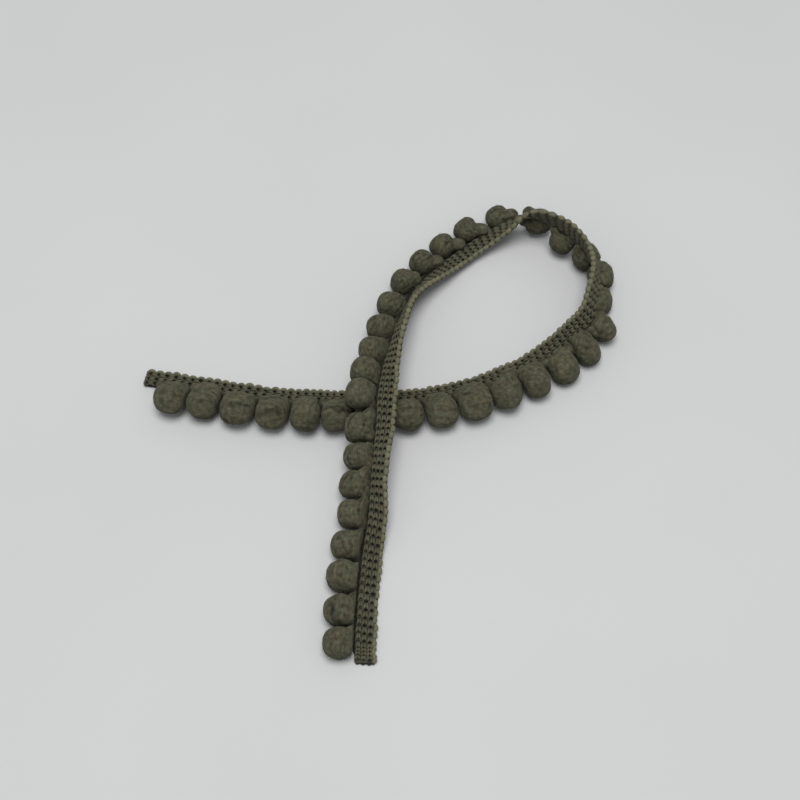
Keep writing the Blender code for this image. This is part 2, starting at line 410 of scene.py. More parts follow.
def tube_rings(paths, guides, across, upright, sides):
    """Rings of points around paths, (paths, points, 3), that turn as little as they can.

    across and upright are half widths of the yarn, beside and along the guide's direction. The
    rings turn clockwise when seen from a path's end.
    """
    ahead = unit(np.gradient(paths, axis=1))
    side = np.empty_like(paths)
    current = np.cross(ahead[:, 0], guides[:, 0])
    for step in range(paths.shape[1]):
        current = current - ahead[:, step] * (current * ahead[:, step]).sum(-1, keepdims=True)
        current = unit(current)
        side[:, step] = current
    top = np.cross(side, ahead)
    turns = turns_around(sides)
    wide = np.broadcast_to(across, paths.shape[:2])
    high = np.broadcast_to(upright, paths.shape[:2])
    return (
        paths[:, :, None]
        + side[:, :, None] * (wide[..., None] * np.cos(turns))[..., None]
        + top[:, :, None] * (high[..., None] * np.sin(turns))[..., None]
    )


def tube_fibre(paths, sides, radius, twist, rng):
    """Fibre coordinates of plied yarn: streaks that wind around it, twist turns a millimetre."""
    steps = np.linalg.norm(np.diff(paths, axis=1), axis=-1)
    along = np.concatenate((np.zeros((len(paths), 1)), np.cumsum(steps, axis=1)), axis=1)
    along = along + rng.uniform(0, STREAK_SHIFT, (len(paths), 1))
    turns = FULL_TURN * (np.arange(sides) / sides + along[..., None] * twist / MM)
    along = np.broadcast_to(along[..., None], turns.shape)
    return np.stack((radius * np.cos(turns), radius * np.sin(turns), along), axis=-1)


def keep_on_floor(rings):
    """Flattens what would reach into the floor."""
    rings[..., 2] = np.maximum(rings[..., 2], FLOOR_GAP)
    return rings


# --- The heading ---


def chain_template():
    """One whole chain stitch: its half loop, and the same mirrored on the way back."""
    back = [(along, -out, up, size) for along, out, up, size in reversed(CHAIN_HALF[:-1])]
    return smooth_path((*CHAIN_HALF, *back), CHAIN_POINTS)


def stitch_column(template, name):
    return template[:, STITCH_COLUMNS.index(name)]


def stitch_paths(strand, template, rng, uneven, shift=0.0, middle=0.0, reach=1.0, lift=0.0):
    """One path for each course: the template's points set out along the strand, a little uneven.

    shift moves the paths along, in courses. middle and lift move them out and up, and reach
    stretches them across the heading.
    """
    along, out, up = (stitch_column(template, name) for name in ("along", "out", "up"))
    longer, further, wider, outer, higher = rng.normal(0, uneven, (5, COURSES, 1))
    stretched = (along - 0.5) * (1 + STRAY_LENGTH * longer)
    along = np.arange(COURSES)[:, None] + shift + 0.5 + stretched + STRAY_ALONG * further
    out = middle + out * reach * (1 + wider) + STRAY_OUT * outer
    arch = np.sin(math.pi * np.linspace(0, 1, len(template)))
    up = lift + up + STRAY_UP * higher * arch
    places = np.clip(along / COURSES_PER_POMPOM, STITCH_MARGIN, LAST_PLACE - STITCH_MARGIN)
    return strand.points(places, out, up)


def uneven_size(template, rng):
    """The yarn's size along each stitch, a little uneven from one stitch to the next."""
    return stitch_column(template, "size") * (1 + rng.normal(0, SIZE_UNEVEN, (COURSES, 1)))


def add_yarns(pile, stitches, size, painted_light, rng, half_width, half_height, sides, twist):
    """One closed tube of yarn along the path of each stitch."""
    paths, guides = stitches
    rings = tube_rings(paths, guides, half_width * size, half_height * size, sides)
    fibre = tube_fibre(paths, sides, half_width, twist, rng)
    tone = rng.normal(0, 1, COURSES)
    pile.add_lofts(keep_on_floor(rings), fibre, tone, painted_light, clockwise=True)


def build_chain_wale(strand, number, material):
    wale = dict(zip(WALE_COLUMNS, WALES[number]))
    rng = np.random.default_rng(WALE_SEED + number)
    template = chain_template()
    stitches = stitch_paths(
        strand, template, rng, WALE_UNEVEN,
        shift=wale["eye"] - EYE_PLACE, middle=wale["middle"], reach=wale["reach"], lift=CHAIN_UP,
    )
    size = uneven_size(template, rng)
    radius = wale["radius"]
    up, share = stitch_column(template, "up"), stitch_column(template, "size")
    height = up[:, None] + radius * share[:, None] * np.sin(turns_around(WALE_SIDES))
    # Painted shade low on each wale's yarn and a painted highlight on its crowns.
    painted_light = share_between(height, *WALE_SHADE)[None]
    pile = Pile()
    add_yarns(pile, stitches, size, painted_light, rng, radius, radius, WALE_SIDES, WALE_TWIST)
    return pile.piece(f"heading_wale_{number + 1}", material, "heading_yarn")


def build_free_edge(strand, material):
    """The looped free edge: one fat arch of yarn for each course."""
    rng = np.random.default_rng(EDGE_SEED)
    template = smooth_path(EDGE_ARCH, EDGE_POINTS)
    stitches = stitch_paths(strand, template, rng, EDGE_UNEVEN)
    size = uneven_size(template, rng)
    # Painted shade where the arch thins into the knit, and a painted highlight on its fat middle.
    painted_light = share_between(stitch_column(template, "size"), *EDGE_SHADE)[None, :, None]
    pile = Pile()
    add_yarns(pile, stitches, size, painted_light, rng, **EDGE_YARN)
    return pile.piece("heading_free_edge", material, "heading_yarn")


def build_weft(strand, material):
    """The yarn across the heading: a rib under each course, and two thin yarns between wales."""
    rng = np.random.default_rng(WEFT_SEED)
    pile = Pile()
    template = smooth_path(RIB_LINE, RIB_POINTS)
    stitches = stitch_paths(strand, template, rng, WEFT_UNEVEN)
    size = uneven_size(template, rng)
    below = -np.sin(turns_around(RIB_YARN["sides"]))
    # Painted shade on the rib, darkest on its top where it lies against the knit.
    painted_light = np.clip(RIB_PAINTED_LIGHT + RIB_PAINTED_LIGHT_BELOW * below, 0, 1)
    add_yarns(pile, stitches, size, painted_light, rng, **RIB_YARN)
    template = smooth_path(CROSSING_LINE, CROSSING_POINTS)
    size = stitch_column(template, "size")
    for place in CROSSING_PLACES:
        stitches = stitch_paths(strand, template, rng, WEFT_UNEVEN, shift=place)
        add_yarns(pile, stitches, size, CROSSING_PAINTED_LIGHT, rng, **CROSSING_YARN)
    return pile.piece("heading_weft", material, "heading_yarn")


def build_backing(strand, material):
    """The dense middle of the knit, a thin band that the stitches sit in. It closes the holes."""
    places = np.linspace(BACKING_MARGIN, LAST_PLACE - BACKING_MARGIN, COURSES * 2 + 1)
    half_height = (BACKING_TOP - BACKING_BOTTOM) / 2
    top = np.linspace(-1, 1, BACKING_POINTS)
    shares = np.concatenate((top, top[::-1]))
    heights = np.repeat((half_height, -half_height), BACKING_POINTS)
    heights = heights * (1 - BACKING_THINNING * shares**BACKING_EDGE_POWER)
    outer = np.interp(places, *zip(*BACKING_OUTER))[:, None]
    out = (outer + BACKING_INNER) / 2 + shares * (outer - BACKING_INNER) / 2
    up = np.broadcast_to((BACKING_TOP + BACKING_BOTTOM) / 2 + heights, out.shape)
    grid = np.broadcast_to(places[:, None], out.shape)
    rings, _ = strand.points(grid, out, up)
    beside_balls, _ = strand.points(grid, out, up, turned=False)
    rings = rings + (beside_balls - rings) * share_between(out, *BACKING_BEND)[..., None]
    fibre = np.stack((out, up, grid * BACKING_PLACE_LENGTH), axis=-1)
    # Painted shade: dark on top, seen through the knit's holes as their shadow, a little less below.
    painted_light = np.repeat((0.0, BACKING_PAINTED_LIGHT_BELOW), BACKING_POINTS)
    pile = Pile()
    pile.add_lofts(rings[None], fibre[None], np.zeros(1), painted_light)
    return pile.piece("heading_backing", material, "heading_yarn", ["heading"])


# --- The pompoms ---

BALL_AROUND = 100
BALL_RINGS = 48
# A ball's first and last rings lie this far from its two ends, in radians.
BALL_END = 0.06
# The fibres leave the ball's two ends beside the heading and fan out over its far side.
BALL_POLE_PULL = 0.45
BALL_SQUARENESS = 2.35
# How much wider the ball gets where it sags on the floor.
SAG_SPREAD = 0.03

# Three soft swellings of the ball. The neck reaches up over the heading's edge. The root lobe and
# the tail lobe reach back to where the yarn leaves the heading before the ball and enters it after.
# The neck's middle and half sizes are shares of the ball's, along the strand, away from the heading
# and upright. From ball to ball they differ by NECK_STRAY and NECK_UNEVEN.
NECK_MIDDLE = np.array((0.02, -0.42, 0.27))
NECK_SIZES = np.array((0.90, 0.63, 0.58))
NECK_STRAY = np.array((0.060, 0.018, 0.036))
NECK_UNEVEN = np.array((0.070, 0.021, 0.021))
NECK_SQUARENESS = 2.7
NECK_BLEND = 0.00045
# The neck keeps the ball's middle this well inside it, where 1 is on its skin.
NECK_HOLD = 0.85
NECK_RISE_WAY = np.array((0.0, -0.40, 0.90))
# A lobe's place as a share of the way to the next pompom, or to the one before where it is
# negative, its lift and its half width.
TAIL_LOBE = (0.36, -0.00030, 0.00122)
TAILS_HIDDEN = (*range(21, 29), 38)
# A lobe stops this far short of the heading's edge.
LOBE_CLEARANCE = 0.00012
# Its half length and middle as shares of the way to its tip, and its height as one of its width.
LOBE_HALF_LENGTH = 0.56
LOBE_MIDDLE = 0.44
LOBE_FLATNESS = 0.95
# How much the lobes' places, lifts and widths differ from ball to ball.
LOBE_STRAY = 0.015
LOBE_LIFT_STRAY = 0.00012
LOBE_WIDTHS = (0.9, 1.1)
LOBE_SQUARENESS = 3.2
LOBE_BLEND = 0.00040
# A swelling's reach is searched from the ball's middle out to here, by halving.
FARTHEST_REACH = 0.02
HALVINGS = 18
# The balls past NECKS_UNTIL have no neck. From GROOVE_FROM on they stand clear of the knit: what
# lies nearer to the heading's middle than GROOVE_OUTER is pushed out by GROOVE_HOLD of the way.
NECKS_UNTIL = 20
GROOVE_FROM = 26
GROOVE_OUTER = 0.00234
GROOVE_HOLD = 0.88

# How balls differ from the usual one: the neck's size along the strand as a share of the ball's,
# how much further it rises over the heading, and how far the ball leans ahead, in degrees.
NECK_COLUMNS = ("number", "width", "rise", "lean")
USUAL_NECK = (0, 0.90, 0.0, 0)
NECKS = (
    (2, 0.90, 0.0004, 0),
    (5, 0.80, 0.0003, 0),
    (7, 0.90, 0.0005, 0),
    (9, 0.82, 0.0004, 0),
    (10, 0.95, 0.0004, 4),
    (11, 0.56, 0.0015, 36),
    (12, 0.90, 0.0003, 10),
    (13, 0.70, 0.0006, 26),
    (14, 0.66, 0.0010, 26),
    (15, 0.80, 0.0003, 26),
)
# The root lobe's place, lift and half width, as for the tail lobe.
ROOT_COLUMNS = ("number", "place", "lift", "half_width")
USUAL_ROOT = (0, -0.49, 0.00110, 0.00134)
ROOTS = (
    (5, -0.49, 0.0006, 0.00160),
    (11, -0.44, 0.0011, 0.00134),
    (12, -0.46, 0.0011, 0.00134),
    (13, -0.44, 0.0011, 0.00134),
    (14, -0.44, 0.0011, 0.00134),
    (15, -0.44, 0.0011, 0.00134),
    (20, 0.24, 0.0026, 0.00140),
    (21, -0.47, 0.0010, 0.00130),
    (22, -0.48, 0.0015, 0.00145),
    (23, -0.59, 0.0015, 0.00148),
    (24, -0.52, 0.0011, 0.00145),
    (25, -0.34, 0.0008, 0.00160),
    (26, -0.14, 0.0006, 0.00180),
    (27, -0.14, 0.0006, 0.00180),
    (28, -0.20, 0.0006, 0.00160),
    (29, -0.14, 0.0009, 0.00150),
    (30, -0.22, 0.0009, 0.00150),
    (31, -0.49, 0.0012, 0.00165),
    (32, -0.25, 0.0009, 0.00150),
    (35, -0.49, 0.0012, 0.00150),
    (36, -0.43, 0.0012, 0.00150),
    (37, -0.49, 0.0012, 0.00150),
    (38, -0.47, 0.0012, 0.00150),
)
# Balls that are slimmer than the model's, along the strand and across.
SLIM_COLUMNS = ("number", "slim_along", "slim_across")
USUAL_SLIM = (0, 1.0, 1.0)
SLIM_BALLS = (
    (11, 0.96, 1.0),
    (12, 0.92, 1.0),
    (13, 0.90, 1.0),
    (14, 0.84, 1.0),
    (15, 0.95, 0.88),
)
BALL_TABLES = (
    (NECK_COLUMNS, USUAL_NECK, NECKS),
    (ROOT_COLUMNS, USUAL_ROOT, ROOTS),
    (SLIM_COLUMNS, USUAL_SLIM, SLIM_BALLS),
)

# The ball's form, in shares of its radius. Lumps and felted dimples are waves over it: how many,
# how fine in radians per radius, and how high.
LUMPS = 7
LUMP_PITCH = 2.0
LUMP_HEIGHT = 0.020
FELT_WAVES = 26
FELT_PITCH = (11.0, 24.0)
FELT_HEIGHT = 0.0085
# How its fibres bend on their way: radians around, and how fast. Waves start at up to BEND_PHASE.
FIBRE_BENDS = ((0.16, 1.5), (0.05, 4.0))
BEND_PHASE = 6.0
# Fine strands around it: their numbers and height, and how far and how fast they sway, in radians.
STRAND_COUNTS = (9, 14, 19, 25, 31)
STRAND_HEIGHT = 0.0042
STRAND_SWAY = 1.2
STRAND_PITCH = (0.6, 1.6)
# Folds: how many, how deep, where along the ball, how strong, and their half sizes in radians.
FOLDS = 4
FOLD_DEPTH = 0.026
FOLD_MIDDLES = (0.9, 2.2)
FOLD_STRENGTHS = (0.3, 1.0)
FOLD_HALF_WIDTH = 0.10
FOLD_HALF_LENGTH = 0.6
# All but the felt fades towards the ball's two ends.
FADE_POWER = 0.8
# The skin's painted light where it has no relief, and how fast it grows with relief.
SKIN_PAINTED_LIGHT = 0.68
PAINTED_LIGHT_OF_RELIEF = 20
# The underside is painted in shade between these shares of the ball's half height, and the skin
# beside a neighbour between these shares of the neighbour's size. Neither gets darker than its least.
UNDERSIDE = (-0.88, 0.37)
UNDERSIDE_LEAST = 0.10
CREVICE = (0.95, 1.35)
CREVICE_LEAST = 0.08
# The fibre coordinates run this many times slower along the fibres than around the ball.
FIBRE_SLOWNESS = 7

# Loose hairs. Their lengths vary by these shares, and each starts a little under the skin. It leans
# sideways, lifts off, droops and curls by these shares of its length.
HAIRS_PER_POMPOM = 110
HAIRLESS_RINGS = 3
HAIR_WIDTH = 0.000020
HAIR_TAPER = np.array((1.0, 1.0, 0.9, 0.7, 0.35))
HAIR_SIDES = 3
HAIR_LENGTH = 0.00055
HAIR_LENGTHS = (0.45, 1.5)
HAIR_START = -0.08
HAIR_LEAN = 0.45
HAIR_LIFTS = (0.25, 0.9)
HAIR_DROOP = 0.55
HAIR_CURL = 0.35


def ball_row(number):
    """How this pompom's ball differs, from its rows of the tables or the usual ones."""
    ball = {}
    for columns, usual, rows in BALL_TABLES:
        found = [row for row in rows if row[0] == number]
        ball.update(zip(columns, found[0] if found else usual))
    return ball


def pompom_places(strand):
    """Where each pompom's ball lies, its axes and half sizes, in the strand's order.

    The axes are travel, away from the heading, and upright. back and front are half sizes towards
    the pompoms before and after it, and spacing and room are the distances to their middles.
    """
    columns = strand.columns
    numbers = [n for n, row in enumerate(ROUTE) if row[columns["across"]] > 0]
    centre, travel, outward, _, right, upward = strand.frames(np.array(numbers, dtype=float), False)
    rows = strand.rows[numbers]
    drop = np.radians(rows[:, columns["drop"]])[:, None]
    edge = centre + outward * HEADING_WIDTH / 2
    away = np.cos(drop) * right - np.sin(drop) * upward
    across = rows[:, columns["across"], None]
    height = rows[:, columns["height"], None]
    middle = edge + away * (across / 2 + BALL_GAP)
    middle[:, 2:] = np.maximum(middle[:, 2:], height / 2 - FLAT_SPOT_DEPTH)
    away = unit(middle - edge)
    axes = np.stack((travel, away, unit(np.cross(away, travel))), axis=1)
    spans = np.linalg.norm(np.diff(middle, axis=0), axis=1)
    places = []
    for index, number in enumerate(numbers):
        ball = ball_row(number)
        spacing, room = spans[max(index - 1, 0)], spans[min(index, len(spans) - 1)]
        half = across[index, 0] / 2 * ball["slim_across"]
        half_along = min(2 * half, min(spacing, room) - BALL_ROOM) / 2
        places.append({
            "number": number,
            "ball": ball,
            "heading": centre[index],
            "outward": outward[index],
            "centre": middle[index],
            "axes": axes[index],
            "spacing": spacing,
            "room": room,
            "back": ball["slim_along"] * min(half, (spacing - BALL_ROOM) / 2),
            "front": ball["slim_along"] * min(half, (room - BALL_ROOM) / 2),
            "sizes": np.array((half_along, half, height[index, 0] / 2)),
        })
    return places


def ball_form(directions, around, along, rng):
    """The radius in each direction as a share, the skin's painted light, and the fibres' way around.
    """
    lumps = np.zeros(around.shape)
    for _ in range(LUMPS):
        wave = rng.normal(0, LUMP_PITCH, 3)
        lumps += LUMP_HEIGHT * np.sin(directions @ wave + rng.uniform(0, FULL_TURN))
    bent = around
    for reach, pitch in FIBRE_BENDS:
        bent = bent + reach * np.sin(along * pitch + rng.uniform(0, BEND_PHASE))
    fade = np.sin(along) ** FADE_POWER
    felt = np.zeros(around.shape)
    for _ in range(FELT_WAVES):
        wave = unit(rng.normal(0, 1, 3)) * rng.uniform(*FELT_PITCH)
        felt += np.sin(directions @ wave + rng.uniform(0, FULL_TURN))
    felt = felt / math.sqrt(FELT_WAVES)
    strands = np.zeros(around.shape)
    for count in STRAND_COUNTS:
        phase = rng.uniform(0, FULL_TURN)
        waves = along * rng.uniform(*STRAND_PITCH) + rng.uniform(0, BEND_PHASE)
        sway = phase + STRAND_SWAY * np.sin(waves)
        strands += np.sin(count * bent + sway) / math.sqrt(count)
    folds = np.zeros(around.shape)
    for _ in range(FOLDS):
        place, middle = rng.uniform(0, FULL_TURN), rng.uniform(*FOLD_MIDDLES)
        beside = np.angle(np.exp(1j * (bent - place))) / FOLD_HALF_WIDTH
        beyond = (along - middle) / FOLD_HALF_LENGTH
        folds += rng.uniform(*FOLD_STRENGTHS) * np.exp(-(beside**2) - beyond**2)
    relief = STRAND_HEIGHT * strands * fade - FOLD_DEPTH * folds * fade + FELT_HEIGHT * felt
    # Painted shade in the skin's furrows and a painted highlight on its ridges.
    painted_light = np.clip(SKIN_PAINTED_LIGHT + PAINTED_LIGHT_OF_RELIEF * relief, 0, 1)
    return 1 + lumps * fade + relief, painted_light, bent


def crevice_painted_light(points, place, neighbours):
    """How light each point is painted: near 0, painted shade, where a neighbour or the floor is
    close, to 1.
    """
    rise = (points[..., 2] - place["centre"][2]) / place["sizes"][2]
    painted_light = np.maximum(share_between(rise, *UNDERSIDE), UNDERSIDE_LEAST)
    for other in neighbours:
        offset = (points - other["centre"]) @ other["axes"].T
        level = np.linalg.norm(offset / other["sizes"], axis=-1)
        painted_light = painted_light * np.maximum(share_between(level, *CREVICE), CREVICE_LEAST)
    return painted_light


def swelling_reach(directions, middle, axes, half, squareness):
    """How far a swelling reaches in each direction from the ball's middle, which lies inside it."""
    turned, start = directions @ axes.T, -axes @ middle
    low, high = np.zeros(directions.shape[:-1]), np.full(directions.shape[:-1], FARTHEST_REACH)
    for _ in range(HALVINGS):
        tried = (low + high) / 2
        level = (np.abs((start + turned * tried[..., None]) / half) ** squareness).sum(-1)
        low, high = np.where(level < 1, tried, low), np.where(level < 1, high, tried)
    return low


def neck_reach(directions, place, rng):
    """The neck, which covers the heading's edge."""
    sizes, ball = place["sizes"], place["ball"]
    middle = (NECK_MIDDLE + rng.normal(0, 1, 3) * NECK_STRAY) * sizes
    half = NECK_SIZES * (1 + rng.normal(0, 1, 3) * NECK_UNEVEN) * sizes
    half[0] *= ball["width"] / NECK_SIZES[0]
    middle = middle + NECK_RISE_WAY * ball["rise"] / 2
    half = half + np.abs(NECK_RISE_WAY) * ball["rise"] / 2
    held = (np.abs(middle / half) ** NECK_SQUARENESS).sum()
    middle = middle * min(1.0, NECK_HOLD / held)
    return swelling_reach(directions, middle, np.eye(3), half, NECK_SQUARENESS)


def lobe_reach(directions, share, lift, half_width, place, rng):
    """A blunt lobe that runs from the ball's middle to the heading's edge."""
    span = place["spacing"] if share < 0 else place["room"]
    tip = np.array((
        (share + rng.normal(0, LOBE_STRAY)) * span,
        LOBE_CLEARANCE - place["sizes"][1] - BALL_GAP,
        lift + rng.normal(0, LOBE_LIFT_STRAY),
    ))
    length = np.linalg.norm(tip)
    ahead = tip / length
    beside = unit(np.cross(ahead, UP))
    axes = np.array((ahead, beside, np.cross(beside, ahead)))
    width = half_width * rng.uniform(*LOBE_WIDTHS)
    half = np.array((LOBE_HALF_LENGTH * length, width, LOBE_FLATNESS * width))
    return swelling_reach(directions, LOBE_MIDDLE * tip, axes, half, LOBE_SQUARENESS)


def soft_max(first, second, blend):
    """The larger of two lengths, with a rounded corner where they cross."""
    mix = np.clip(0.5 + 0.5 * (second - first) / blend, 0, 1)
    return first + (second - first) * mix + blend * mix * (1 - mix) * 0.5


def lean_back(directions, angle):
    """Directions turned about the upright axis, so that a ball leans ahead along the strand."""
    ahead, away = directions[..., 0], directions[..., 1]
    cosine, sine = math.cos(angle), math.sin(angle)
    turned = (cosine * ahead + sine * away, cosine * away - sine * ahead, directions[..., 2])
    return np.stack(turned, axis=-1)


def ball_reach(directions, place, rng):
    """How far the ball reaches in each direction from its middle, with its neck and its lobes."""
    sizes, ball = place["sizes"], place["ball"]
    leaned = lean_back(directions, math.radians(ball["lean"]))
    level = (np.abs(leaned[..., 1:] / sizes[1:]) ** BALL_SQUARENESS).sum(-1)
    end = np.where(leaned[..., 0] < 0, place["back"], place["front"])
    level = level + np.abs(leaned[..., 0] / end) ** BALL_SQUARENESS
    reach = level ** (-1 / BALL_SQUARENESS)
    neck = neck_reach(leaned, place, rng)
    if place["number"] <= NECKS_UNTIL:
        reach = soft_max(reach, neck, NECK_BLEND)
    root_lobe = (ball["place"], ball["lift"], ball["half_width"])
    reach = soft_max(reach, lobe_reach(directions, *root_lobe, place, rng), LOBE_BLEND)
    tail = lobe_reach(directions, *TAIL_LOBE, place, rng)
    if place["number"] not in TAILS_HIDDEN:
        reach = soft_max(reach, tail, LOBE_BLEND)
    return reach


def ball_rings(place, rng):
    """Rings of one ball along the strand, with fibre coordinates, painted light and normals."""
    axes, sizes = place["axes"], place["sizes"]
    along = np.linspace(BALL_END, math.pi - BALL_END, BALL_RINGS)[:, None]
    along, around = np.broadcast_arrays(along, turns_around(BALL_AROUND))
    radial = (-np.cos(along), np.sin(along) * np.cos(around), -np.sin(along) * np.sin(around))
    directions = unit(np.stack(radial, axis=-1) - np.array((0.0, BALL_POLE_PULL, 0.0)))
    radius, painted_light, bent = ball_form(directions, around, along, rng)
    shape = directions * (ball_reach(directions, place, rng) * radius)[..., None]
    sag = np.clip(-shape[..., 2] / sizes[2], 0, 1)
    shape[..., :2] *= (1 + SAG_SPREAD * np.sin(math.pi * sag))[..., None]
    points = place["centre"] + shape @ axes
    if place["number"] >= GROOVE_FROM:
        over = np.maximum(GROOVE_OUTER - (points - place["heading"]) @ place["outward"], 0)
        points = points + GROOVE_HOLD * over[..., None] * place["outward"]
    fibre = np.stack((np.cos(bent), np.sin(bent), along / FIBRE_SLOWNESS), axis=-1) * sizes[1]
    return keep_on_floor(points), fibre, painted_light, unit(directions / sizes) @ axes


def hair_rings(surface, normals, ahead, rng, count):
    """Short loose fibres that stand a little off a surface, thin and bent over."""
    picked = rng.choice(len(surface), count, replace=False)
    root, normal, lean = surface[picked], normals[picked], ahead[picked]
    side = np.cross(normal, lean)
    ahead, aside = rng.choice((-1, 1), (count, 1)), rng.normal(0, HAIR_LEAN, (count, 1))
    lean = unit(lean * ahead + side * aside)
    length = HAIR_LENGTH * rng.uniform(*HAIR_LENGTHS, (count, 1))
    lift = normal * rng.uniform(*HAIR_LIFTS, (count, 1))
    curl = side * rng.normal(0, HAIR_CURL, (count, 1))
    paths = np.stack([
        root + length * (lean * step + lift * (step - HAIR_DROOP * step**2) + curl * step**2)
        for step in np.linspace(HAIR_START, 1, len(HAIR_TAPER))
    ], axis=1)
    thin = HAIR_WIDTH * HAIR_TAPER
    guides = np.broadcast_to(normal[:, None], paths.shape)
    return keep_on_floor(tube_rings(paths, guides, thin, thin, HAIR_SIDES))


def build_pompom(number, place, neighbours, material):
    """One pompom: a soft ball of roving with its lobes, and a few loose fibres."""
    rng = np.random.default_rng(POMPOM_SEED + number)
    tone = rng.normal(0, 1, 1)
    pile = Pile()
    points, fibre, painted_light, normals = ball_rings(place, rng)
    # Painted shade on the underside and beside the neighbouring balls.
    painted_light = painted_light * crevice_painted_light(points, place, neighbours)
    pile.add_lofts(points[None], fibre[None], tone, painted_light[None])
    ahead = unit(np.gradient(points, axis=0))
    hairy = slice(HAIRLESS_RINGS, -HAIRLESS_RINGS)
    skin = [values[hairy].reshape(-1, 3) for values in (points, normals, ahead)]
    rings = hair_rings(*skin, rng, HAIRS_PER_POMPOM)
    tones = np.repeat(tone, HAIRS_PER_POMPOM)
    pile.add_lofts(rings, np.zeros(rings.shape), tones, 1.0, clockwise=True)
    node = f"pompom_{number:02d}"
    return pile.piece(f"{node}_yarn", material, "pompom_yarn", [node])


# --- Materials ---


def grey(level):
    return (level, level, level)


# Stops of a ramp: a level, and the linear colour there. Fine noise picks a fibre's colour, broad
# noise its hue, a random draw the tone of its stitch or pompom, and its painted light value its
# painted shade, and above 1 its painted highlight.
ROVING_COLOURS = (
    (0.36, (0.054, 0.052, 0.033)),
    (0.50, (0.083, 0.080, 0.053)),
    (0.64, (0.130, 0.125, 0.087)),
)
ROVING_HUES = ((0.35, (1.05, 0.99, 0.93)), (0.65, (0.95, 1.01, 0.97)))
ROVING_TONES = ((0.0, grey(0.93)), (1.0, grey(1.07)))
ROVING_PAINTED_LIGHT = ((0.08, grey(0.20)), (0.8, grey(1.14)))
KNIT_COLOURS = (
    (0.34, (0.074, 0.071, 0.045)),
    (0.50, (0.108, 0.104, 0.068)),
    (0.66, (0.148, 0.143, 0.097)),
)
KNIT_HUES = ((0.38, (1.05, 0.98, 0.92)), (0.56, (0.97, 1.02, 0.96)))
KNIT_TONES = ((0.0, grey(0.86)), (1.0, grey(1.14)))
KNIT_PAINTED_LIGHT = ((0.0, grey(0.13)), (0.45, grey(0.60)), (0.75, grey(0.95)), (1.0, grey(1.44)))
FLOOR_COLOURS = ((0.3, (0.655, 0.660, 0.660)), (0.7, (0.675, 0.680, 0.680)))


class Shading:
    """A small helper that adds nodes to one material and links them by name."""

    def __init__(self, name):
        self.material = bpy.data.materials.new(name)
        self.material.use_nodes = True
        self.tree = self.material.node_tree
        self.shader = self.tree.nodes["Principled BSDF"]

    def node(self, kind, **settings):
        made = self.tree.nodes.new("ShaderNode" + kind)
        for key, value in settings.items():
            setattr(made, key, value)
        return made

    def link(self, start, end):
        self.tree.links.new(start, end)

    def fill(self, socket, value):
        """Sets a socket to a number or a colour, or links another to it."""
        if isinstance(value, (int, float)):
            socket.default_value = value
        elif isinstance(value, tuple):
            socket.default_value = (*value, 1.0)
        else:
            self.link(value, socket)

    def place(self):
        """Coordinates in the object's own frame, in metres."""
        return self.node("TexCoord").outputs["Object"]

    def attribute(self, name, output):
        made = self.node("Attribute", attribute_type="GEOMETRY", attribute_name=name)
        return made.outputs[output]

    def noise(self, coordinates, scale, detail, roughness=0.5):
        made = self.node("TexNoise", noise_dimensions="3D")
        names = ("Vector", "Scale", "Detail", "Roughness")
        for name, value in zip(names, (coordinates, scale, detail, roughness)):
            self.fill(made.inputs[name], value)
        return made.outputs["Fac"]

    def ramp(self, value, stops):
        """A colour for each level of value: stops are (level, colour)."""
        made = self.node("ValToRGB")
        elements = made.color_ramp.elements
        while len(elements) < len(stops):
            elements.new(0.5)
        for element, (level, colour) in zip(elements, stops):
            element.position = level
            element.color = (*colour, 1.0)
        self.link(value, made.inputs["Fac"])
        return made.outputs["Color"]

    def math(self, operation, *values):
        made = self.node("Math", operation=operation)
        for socket, value in zip(made.inputs, values):
            self.fill(socket, value)
        return made.outputs["Value"]

    def tone(self, spread):
        """The piece's random tones, which lie around 0, as levels around a half."""
        return self.math("MULTIPLY_ADD", self.attribute("tone", "Fac"), spread, 0.5)

    def mixed(self, first, second, share):
        """A share of the first value, and the rest of the second."""
        parts = self.math("MULTIPLY", first, share), self.math("MULTIPLY", second, 1 - share)
        return self.math("ADD", *parts)

    def tinted(self, colour, value, stops):
        """The colour multiplied by what the stops say at each level of value."""
        made = self.node("Mix", data_type="RGBA", blend_type="MULTIPLY")
        factor, first, second = (made.inputs[number] for number in (0, 6, 7))
        self.fill(factor, 1.0)
        self.link(colour, first)
        self.link(self.ramp(value, stops), second)
        return made.outputs[2]

    def bump(self, height, distance, strength, below=None):
        made = self.node("Bump")
        self.fill(made.inputs["Distance"], distance)
        self.fill(made.inputs["Strength"], strength)
        self.link(height, made.inputs["Height"])
        if below is not None:
            self.link(below, made.inputs["Normal"])
        return made.outputs["Normal"]

    def surface(self, **settings):
        """The material, with each named input of its shader filled."""
        for name, value in settings.items():
            self.fill(self.shader.inputs[name.replace("_", " ")], value)
        return self.material


